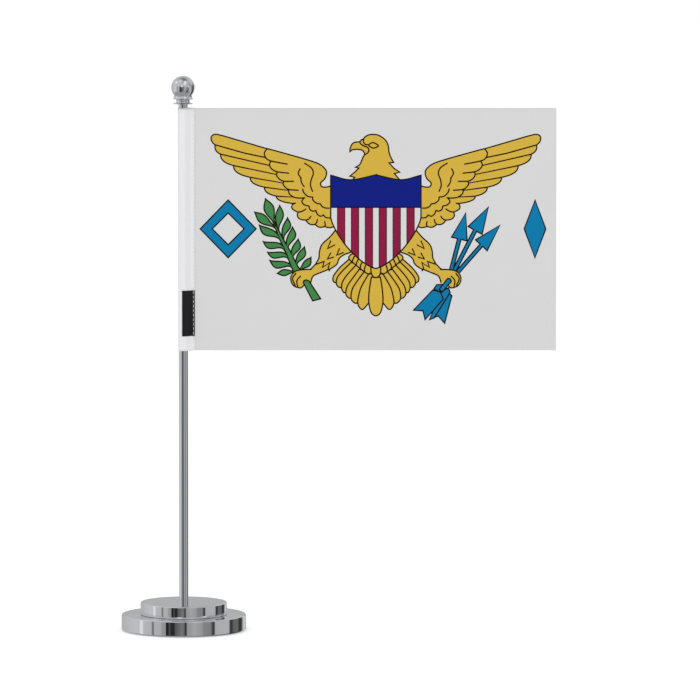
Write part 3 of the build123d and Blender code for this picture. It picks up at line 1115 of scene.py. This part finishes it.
    def build(self) -> bpy.types.Object:
        """Cuts, prints, folds and thickens the cloth."""
        layers = [(shape + self.emblem_centre, ink) for shape, ink in Emblem().draw().layers]
        points, edges = self._flat_points(layers)
        places, _, faces, *_ = delaunay_2d_cdt(points, edges, [], 0, 0.01, False)
        flat = np.array([tuple(p) for p in places])
        faces = np.array([f for f in faces if len(f) == 3])
        middles = flat[faces].mean(axis=1)
        kept = winding(self._outline(), middles) != 0
        faces, middles = faces[kept], middles[kept]
        inks = np.tile(linear(Ink.CLOTH.value), (len(faces), 1))
        for shape, ink in layers:
            inks[winding(shape, middles) != 0] = linear(ink.value)
        panel = mesh_object("flag_panel", self.folded(flat), faces)
        colours = panel.data.color_attributes.new("ink", "FLOAT_COLOR", "CORNER")
        colours.data.foreach_set("color", np.repeat(inks, 3, axis=0).astype(np.float32).ravel())
        thicken(panel, self.thickness)
        dress(panel, PRINTED, "flag", ["flag_cloth"])
        return panel

    def flat_size(self) -> tuple[tuple[float, float], float]:
        """The cut cloth's width and height in metres, and its area without its cut corners."""
        outline = self._outline() * MM
        x, z = outline.T
        area = abs(np.sum(x * np.roll(z, -1) - z * np.roll(x, -1))) / 2
        size = outline.max(axis=0) - outline.min(axis=0)
        return (float(size[0]), float(size[1])), float(area)


@dataclass
class Sleeve:
    """The strip folded round the pole, and the plain label that lies over its front.

    Attributes:
        radius: The radius of the loop, at the middle of the cloth.
        gap: Half the distance between the two layers at the seam, at their middles.
        seam_start, edge: Where the layers meet and where they end.
        bottom, height: Its lower end and how tall it is.
        thickness: The strip's thickness.
        label_left, label_bottom, label_height, label_thickness: The label's place and size.
        label_gap: How far the label lies off the strip.
    """

    radius: float = 2.93
    gap: float = 0.25
    seam_start: float = 4.5
    edge: float = 6.6
    bottom: float = 162.5
    height: float = 140.5
    thickness: float = 0.22
    label_left: float = -0.7
    label_bottom: float = 171.0
    label_height: float = 26.4
    label_thickness: float = 0.24
    label_gap: float = 0.03

    def _outline(self, out: float, to_angle: float) -> np.ndarray:
        """The front half of the loop, seen from above.

        From the edge it runs level to the seam's start, then straight to where it touches the
        circle, then round the circle.

        Args:
            out: How far outside the strip's middle it lies.
            to_angle: Where on the circle it ends, in radians from +X and negative in front.

        Returns:
            Rows of x and y.
        """
        radius, gap = self.radius + out, self.gap + out
        reach = math.hypot(self.seam_start, gap)
        touch = -(math.atan2(gap, self.seam_start) + math.acos(radius / reach))
        angle = np.linspace(touch, to_angle, 40)
        circle = radius * np.stack([np.cos(angle), np.sin(angle)], axis=-1)
        level = np.stack([np.linspace(self.edge, self.seam_start, 5), np.full(5, -gap)], axis=-1)
        share = np.linspace(0, 1, 6)[1:-1, None]
        straight = level[-1] + (circle[0] - level[-1]) * share
        return np.vstack([level, straight, circle])

    def _label_line(self) -> np.ndarray:
        """The label's outline, seen from above: the strip's, a little further out."""
        out = (self.thickness + self.label_thickness) / 2 + self.label_gap
        return self._outline(out, -math.acos(self.label_left / (self.radius + out)))

    def build(self) -> bpy.types.Object:
        """The strip: the loop's outline carried up its height, with faint slack creases."""
        front = self._outline(0, -math.pi)
        loop = np.vstack([front, (front * (1, -1))[-2::-1]])
        height = np.linspace(0, self.height, 95)[:, None]
        x, y = loop[:, 0], loop[:, 1]
        crease = 1 + 0.012 * np.sin(height / 9 + 3 * x) * np.sin(height / 23) * (x < 3.5)
        points = np.stack([x * crease, y * crease, self.bottom + height + 0 * x], axis=-1)
        faces = grid_faces(len(height), len(loop))
        sleeve = mesh_object("flag_sleeve_strip", points.reshape(-1, 3), faces[:, ::-1])
        thicken(sleeve, self.thickness)
        return dress(sleeve, PLAIN, "flag", ["flag_sleeve"])

    def build_label(self) -> bpy.types.Object:
        """The label: it follows the sleeve's front, and its free side and corners lift a little."""
        line = self._label_line()
        height = np.linspace(0, self.label_height, 40)[:, None]
        x, y = line[:, 0], line[:, 1]
        free = np.clip((1.5 - x) / 2.2, 0, 1) ** 2
        lift = free * (0.10 + 0.16 * np.abs(height / self.label_height - 0.5) ** 2 * 4)
        points = np.stack(
            [x + 0 * height, y - lift, self.label_bottom + height + 0 * x], axis=-1
        )
        faces = grid_faces(len(height), len(line))
        label = mesh_object("plain_label", points.reshape(-1, 3), faces[:, ::-1])
        thicken(label, self.label_thickness)
        return dress(label, WOVEN, "flag", ["label"])

    def flat_sizes(self) -> tuple[tuple[float, float], tuple[float, float]]:
        """The strip's and the label's width and height in metres, laid flat."""
        front = self._outline(0, -math.pi)
        half_strip, label = (
            float(np.linalg.norm(np.diff(line, axis=0), axis=1).sum()) * MM
            for line in (front, self._label_line())
        )
        return (2 * half_strip, self.height * MM), (label, self.label_height * MM)


@dataclass
class Stitching:
    """Lockstitch: a row of short rounded stitches on the face and one on the back.

    Attributes:
        pitch: The distance between stitches.
        length: How long each stitch shows.
        width: How wide the thread is.
        height: How far it stands up.
        sunk: How far its middle lies inside the cloth's surface.
    """

    pitch: float = 2.6
    length: float = 2.1
    width: float = 0.3
    height: float = 0.26
    sunk: float = 0.07

    def _stitches(self, places: np.ndarray, upright: np.ndarray) -> tuple[np.ndarray, np.ndarray]:
        """A stitch at each place.

        A stitch is a stretched ball: at turn u and way v it lies length/2 cos v along the row,
        width/2 sin v cos u across it and height/2 sin v sin u out of the cloth.

        Args:
            places: The middle of each stitch.
            upright: Whether each row runs upright.

        Returns:
            Points and faces.
        """
        around = along_ball = 6
        u = np.linspace(0, 2 * math.pi, around, endpoint=False)
        v = np.linspace(0, math.pi, along_ball)[:, None]
        along = self.length / 2 * np.cos(v) + 0 * u
        across = self.width / 2 * np.sin(v) * np.cos(u)
        out = self.height / 2 * np.sin(v) * np.sin(u)
        level = np.stack([along, out, across], axis=-1).reshape(1, -1, 3)
        standing = np.stack([-across, out, along], axis=-1).reshape(1, -1, 3)
        points = places[:, None] + np.where(upright[:, None, None], standing, level)
        one = grid_faces(along_ball, around, round_columns=True)
        faces = one[None] + (np.arange(len(places)) * along_ball * around)[:, None, None]
        return points.reshape(-1, 3), faces.reshape(-1, 4)

    def _row(self, start: tuple[float, float], end: tuple[float, float]) -> np.ndarray:
        """The middles of the stitches along a straight row of x and z."""
        start, end = np.array(start), np.array(end)
        count = int(np.linalg.norm(end - start) // self.pitch)
        return start + (end - start) * ((np.arange(count) + 0.5) / count)[:, None]

    def hem(self, panel: PrintedPanel) -> bpy.types.Object:
        """The stitches round the three hems, on both sides."""
        left, right = panel.seam + 1, panel.right - panel.stitch_inset
        low, high = panel.bottom + panel.stitch_inset, panel.top - panel.stitch_inset
        rows = [((left, low), (right, low)), ((right, low), (right, high))]
        rows += [((left, high), (right, high))]
        middles = [self._row(*row) for row in rows]
        upright = np.concatenate([np.full(len(m), n == 1) for n, m in enumerate(middles)])
        x, z = np.vstack(middles).T
        swing = panel.swing(x, z)
        half, back = panel.thickness / 2, 2 * panel.fold
        faces_y = (swing + self.sunk - half, swing + back - self.sunk + half)
        places = np.vstack([np.stack([x, y, z], axis=-1) for y in faces_y])
        points, faces = self._stitches(places, np.tile(upright, 2))
        made = mesh_object("hem_stitches", points, faces, merge=True)
        return dress(made, THREAD, "flag", ["hem_thread"])

    def seam(self, sleeve: Sleeve, x: float = 5.8) -> bpy.types.Object:
        """The stitches that close the sleeve, on both sides, over the label where it lies."""
        row = self._row((x, sleeve.bottom + 1), (x, sleeve.bottom + sleeve.height - 1))
        surface = sleeve.gap + sleeve.thickness / 2
        above_label = row[:, 1] - sleeve.label_bottom
        on_label = (above_label > -1) & (above_label < sleeve.label_height + 1)
        front = -surface - np.where(on_label, sleeve.label_thickness + sleeve.label_gap, 0)
        places = np.vstack(
            [np.stack([row[:, 0], y, row[:, 1]], axis=-1) for y in (front, surface + 0 * front)]
        )
        points, faces = self._stitches(places, np.full(len(places), True))
        made = mesh_object("seam_stitches", points, faces, merge=True)
        return dress(made, THREAD, "flag", ["seam_thread"])


@dataclass
class Flag:
    """The whole flag: panel, sleeve, label and stitches."""

    panel: PrintedPanel = field(default_factory=PrintedPanel)
    sleeve: Sleeve = field(default_factory=Sleeve)
    stitching: Stitching = field(default_factory=Stitching)

    def build(self) -> None:
        """Builds the flag's pieces and says how each cloth was cut."""
        strip, label = self.sleeve.build(), self.sleeve.build_label()
        seam = self.stitching.seam(self.sleeve)
        panel, hem = self.panel.build(), self.stitching.hem(self.panel)
        flat, area = self.panel.flat_size()
        strip_size, label_size = self.sleeve.flat_sizes()
        for name, size in (("panel", flat), ("strip", strip_size), ("label", label_size)):
            LOG.info("%s flat: %.1f x %.1f mm", name, size[0] / MM, size[1] / MM)


# ---------------------------------------------------------------- the metal parts


@dataclass
class Base:
    """Two chromed discs, one on the other.

    Attributes:
        lower_radius, lower_bottom, lower_top: The wide disc.
        upper_radius, upper_top: The narrow disc that stands on it.
        pad_radius, pad_recess: The recess below for the pad.
        bevel: How far the discs' edges are cut back.
        softness: The radius that buffing leaves on an edge.
    """

    lower_radius: float = 36.0
    lower_bottom: float = 0.5
    lower_top: float = 9.5
    upper_radius: float = 25.0
    upper_top: float = 16.5
    pad_radius: float = 32.0
    pad_recess: float = 1.0
    bevel: float = 0.5
    softness: float = 0.58

    def build(self) -> None:
        """Turns both discs, and dresses the pad and the washer under them."""
        soft, low, top = self.softness, self.lower_bottom, self.lower_top
        out, cut = self.lower_radius, self.bevel
        lower = [
            (1.7, 5.4, 0), (5, 5.4, 0), (5, self.pad_recess, 0),
            (self.pad_radius, self.pad_recess, 0),
            (self.pad_radius, low, 0.1), (out - cut, low, soft), (out, low + cut, soft),
            (out, top - cut, soft), (out - cut, top, soft), (6, top, 0), (6, 7.5, 0), (1.7, 7.5, 0),
        ]
        disc = lathe("base_wide_disc", rounded(lower), 256)
        dress(disc, CHROME, "base", ["base_lower_disc"])
        out, high = self.upper_radius, self.upper_top
        upper = [
            (1.7, 7.6, 0), (6, 7.6, 0), (6, top, 0), (out, top, 0.06),
            (out, high - cut, soft), (out - cut, high, soft), (2.7, high, 0.08), (2.7, 12, 0),
            (1.7, 12, 0),
        ]
        disc = lathe("base_narrow_disc", rounded(upper), 256)
        dress(disc, CHROME, "base", ["base_upper_disc"])
        dress(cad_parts["base_pad"], FOAM)
        dress(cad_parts["base_washer"], ZINC)
        dress(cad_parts["base_bolt"], ZINC)


@dataclass
class Pole:
    """The chromed tube with its two inserts and the clear band that grips the sleeve.

    Attributes:
        radius, bore: The tube's outer and inner radius.
        foot, top: Its ends.
    """

    radius: float = 2.65
    bore: float = 2.0
    foot: float = 12.0
    top: float = 305.3

    def build(self) -> None:
        """Turns the tube and dresses what is in and on it."""
        walls = [(self.bore, self.foot, 0.05), (self.radius, self.foot, 0.1),
                 (self.radius, self.top, 0.1), (self.bore, self.top, 0.05)]
        dress(lathe("pole_chromed_tube", rounded(walls), 96), CHROME, "pole", ["pole_tube"])
        for node in ("pole_foot_insert", "pole_top_insert"):
            dress(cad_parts[node], BRASS)
        dress(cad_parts["grip_band"], SILICONE)


@dataclass
class Finial:
    """The turned collar and the ball that screws down on it.

    Attributes:
        foot: The collar's lowest height.
        bore: The radius of its hole.
        ball_radius, ball_centre: The ball.
        cove_radius, cove_out: The round groove's radius and how far out its middle lies.
    """

    foot: float = 305.3
    bore: float = 1.55
    ball_radius: float = 6.75
    ball_centre: float = 314.7
    cove_radius: float = 1.25
    cove_out: float = 5.05

    def build(self) -> None:
        """Turns the collar and the ball, and dresses the stud that joins them."""
        flange = self.foot + 0.3
        cove = arc((self.cove_out, flange + self.cove_radius), self.cove_radius, -90, -270)
        lip = flange + 2 * self.cove_radius
        seat_radius = self.ball_radius + 0.05
        start, end = (-math.degrees(math.acos(out / seat_radius)) for out in (4.914, self.bore))
        seat = arc((0, self.ball_centre), seat_radius, start, end)
        below = rounded([(self.bore, self.foot, 0), (5.6, self.foot, 0.08), (5.6, flange, 0.08),
                         (5.1, flange, 0)])
        above = rounded([(5.1, lip, 0), (5.75, lip, 0.12), (5.75, lip + 0.4, 0.12),
                         (5.35, lip + 0.4, 0), (5.15, 310, 0.08), (4.95, 310, 0)])
        collar = lathe("finial_turned_collar", np.vstack([below, cove, above, seat]), 128)
        dress(collar, CHROME, "finial_collar", ["finial_collar"])
        flat = self.ball_centre - self.ball_radius + 0.3
        edge = math.degrees(math.acos((self.ball_radius - 0.3) / self.ball_radius))
        ball = np.vstack([
            [(0, flat + 4.5), (1.5, flat + 4.5), (1.5, flat)],
            arc((0, self.ball_centre), self.ball_radius, edge - 90, 90)[:-1],
            [(0, self.ball_centre + self.ball_radius)],
        ])
        dress(lathe("finial_round_ball", ball, 96), CHROME, "finial_ball", ["finial_ball"])
        dress(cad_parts["finial_stud"], ZINC)


# ---------------------------------------------------------------- the studio


@dataclass
class Studio:
    """A white floor and air, soft light, and a ring of pale and dark screens for the chrome.

    Attributes:
        aim: What the camera looks at, in metres.
        distance: How far away the camera stands, in metres.
        elevation: How far above the level it looks from, in degrees.
        lens: The focal length in millimetres, on a sensor 36 mm wide.
        air_strength: How bright the air is.
        lamp_place, lamp_size: Where the lamp hangs and how wide it is, in metres.
        lamp_watts: The lamp's power.
        floor_width: The floor's width in millimetres.
        floor_glow: The light that the floor gives of its own, which keeps it white.
        ring_radius: The radius of the ring of screens, in metres.
        wall_grey, ground_grey: The grey above the screens, and below them.
        band_middle, band_half, band_fade: The screens' middle height, half their height and how
            far they fade beyond it, in degrees.
        screens: Degrees round the ring from the camera's direction towards +X, and the grey of
            0 to 255 that the screen there gives in the metal.
        spots: Lamps and dark gaps off the ring: degrees round it and above it, radius in degrees
            and grey.
    """

    aim: tuple[float, float, float] = (0.0961, 0.0, 0.1628)
    distance: float = 6.73
    elevation: float = 6.0
    lens: float = 600.0
    air_strength: float = 0.685
    lamp_place: tuple[float, float, float] = (-0.4, -2.9, 2.5)
    lamp_size: float = 3.0
    lamp_watts: float = 33.0
    floor_width: float = 12000.0
    floor_glow: float = 0.34
    ring_radius: float = 3.0
    wall_grey: float = 188.0
    ground_grey: float = 142.0
    band_middle: float = -4.0
    band_half: float = 14.0
    band_fade: float = 10.0
    screens: tuple[tuple[float, int], ...] = (
        (-180, 165), (-150, 172), (-100, 190), (-90, 186), (-87, 218), (-82, 218), (-79, 180),
        (-62, 176), (-58, 96), (-55, 173), (-43, 172), (-40, 152), (-33, 150), (-31.5, 20),
        (-29, 34), (-25, 88), (-23, 45), (-17, 40), (-15, 86), (-2, 117), (2, 98), (4, 40),
        (5.5, 45), (6.5, 145), (20, 162), (35, 150), (37, 134), (50, 132), (53, 112), (55, 66),
        (59, 62), (61, 172), (93, 174), (97, 50), (102, 66), (106, 104), (121, 120), (124, 58),
        (136, 54), (139, 145), (146, 165), (149, 215), (152, 215), (155, 172), (180, 165),
    )
    spots: tuple[tuple[float, float, float, int], ...] = (
        (0, 90, 26, 96), (-95, 42, 9, 255), (38, 60, 10, 255), (22, 44, 8, 240), (-11, 21, 7, 255),
        (-24, -24, 11, 25), (48, -26, 12, 70), (118, -28, 16, 20), (140, -48, 16, 20),
        (-60, 70, 16, 215), (75, 30, 18, 150), (58, 16, 7, 235),
    )

    def build(self) -> None:
        """Sets up the view, the camera, the lights, the floor and the screens."""
        scene = bpy.context.scene
        scene.view_settings.view_transform = "Standard"
        self._camera()
        self._air()
        self._floor()
        self._ring()

    def _camera(self) -> None:
        """The camera, far away so that upright lines stay upright."""
        lens = bpy.data.cameras.new("camera")
        lens.lens, lens.sensor_width = self.lens, 36.0
        lens.clip_end = 100.0
        camera = bpy.data.objects.new("camera", lens)
        tilt = math.radians(self.elevation)
        backwards = Vector((0, -math.cos(tilt), math.sin(tilt)))
        camera.location = Vector(self.aim) + self.distance * backwards
        camera.rotation_euler = (math.pi / 2 - tilt, 0, 0)
        bpy.context.scene.collection.objects.link(camera)
        bpy.context.scene.camera = camera

    def _air(self) -> None:
        """Even white light from all round, and one wide soft lamp above the viewer's left."""
        world = bpy.data.worlds.new("studio_air")
        tree = emptied(world)
        air = add_node(
            tree, "ShaderNodeBackground", {"Color": (1, 1, 1, 1), "Strength": self.air_strength}
        )
        add_node(tree, "ShaderNodeOutputWorld", {"Surface": air.outputs[0]})
        bpy.context.scene.world = world
        lamp = bpy.data.lights.new("soft_lamp", "AREA")
        lamp.size, lamp.energy = self.lamp_size, self.lamp_watts
        holder = bpy.data.objects.new("soft_lamp", lamp)
        holder.location = self.lamp_place
        towards = Vector(self.aim) - holder.location
        holder.rotation_euler = towards.to_track_quat("-Z", "Y").to_euler()
        holder.visible_glossy = False
        holder.visible_camera = False
        bpy.context.scene.collection.objects.link(holder)

    def _floor(self) -> None:
        """A wide matt white floor that the metal doesn't show."""
        corners = np.array([(-1, -1, 0), (1, -1, 0), (1, 1, 0), (-1, 1, 0)]) * self.floor_width / 2
        floor = mesh_object("studio_floor", corners, np.array([[0, 1, 2, 3]]), smooth=False)
        paper = bpy.data.materials.new("white_paper")
        tree = emptied(paper)
        matt = add_node(
            tree, "ShaderNodeBsdfPrincipled",
            {
                "Base Color": linear("#FAFAFA"),
                "Roughness": 0.9,
                "Specular IOR Level": 0.1,
                "Emission Color": (1, 1, 1, 1),
                "Emission Strength": self.floor_glow,
            },
        )
        add_node(tree, "ShaderNodeOutputMaterial", {"Surface": matt.outputs[0]})
        floor.data.materials.append(paper)
        floor.visible_glossy = False

    def _ring(self) -> None:
        """The screens, as a glowing ball that only the metal shows.

        Its glow at an azimuth is what the screens say, and fades to an even grey above them and
        below them. A spot takes over by exp(-(angle from its middle / radius)²).
        """
        azimuth = np.linspace(-180, 180, 1441)
        elevation = np.linspace(-90, 90, 91)[:, None]
        at, grey = np.array(self.screens, float).T
        band = np.interp(azimuth, at, grey)
        turn, lift = np.radians(azimuth), np.radians(elevation)
        wall = np.where(elevation > 0, self.wall_grey, self.ground_grey)
        beyond = np.maximum(np.abs(elevation - self.band_middle) - self.band_half, 0)
        near = np.exp(-((beyond / self.band_fade) ** 2))
        shade = wall + (band - wall) * near
        for around, above, radius, spot_grey in self.spots:
            middle = math.radians(above)
            level = np.cos(lift) * math.cos(middle) * np.cos(turn - math.radians(around))
            cosine = np.sin(lift) * math.sin(middle) + level
            angle = np.degrees(np.arccos(np.clip(cosine, -1, 1)))
            shade = shade + (spot_grey - shade) * np.exp(-((angle / radius) ** 2))
        light = self._light(shade)
        radius = self.ring_radius / MM
        points = radius * np.stack(
            [np.cos(lift) * np.sin(turn), -np.cos(lift) * np.cos(turn), np.sin(lift) + 0 * turn],
            axis=-1,
        )
        faces = grid_faces(*light.shape)
        ring = mesh_object("studio_screens", points.reshape(-1, 3), faces)
        glow = ring.data.attributes.new("glow", "FLOAT", "POINT")
        glow.data.foreach_set("value", light.astype(np.float32).ravel())
        screen = bpy.data.materials.new("lit_screen")
        tree = emptied(screen)
        value = add_node(tree, "ShaderNodeAttribute", attribute_name="glow").outputs["Fac"]
        emission = add_node(tree, "ShaderNodeEmission", {"Strength": value})
        add_node(tree, "ShaderNodeOutputMaterial", {"Surface": emission.outputs[0]})
        screen.cycles.emission_sampling = "NONE"
        ring.data.materials.append(screen)
        for sense in ("camera", "diffuse", "transmission", "volume_scatter", "shadow"):
            setattr(ring, "visible_" + sense, False)

    def _light(self, grey: np.ndarray) -> np.ndarray:
        """The light that chrome, which gives back four fifths, turns into a grey of 0 to 255."""
        return decoded(np.clip(grey, 0, 255) / 255) / 0.8


def main() -> None:
    """Builds the stand from its base up, then the studio around it."""
    logging.basicConfig(level=logging.INFO, format="%(name)s: %(message)s")
    Base().build()
    Pole().build()
    Finial().build()
    Flag().build()
    Studio().build()


if __name__ == "__main__":
    main()
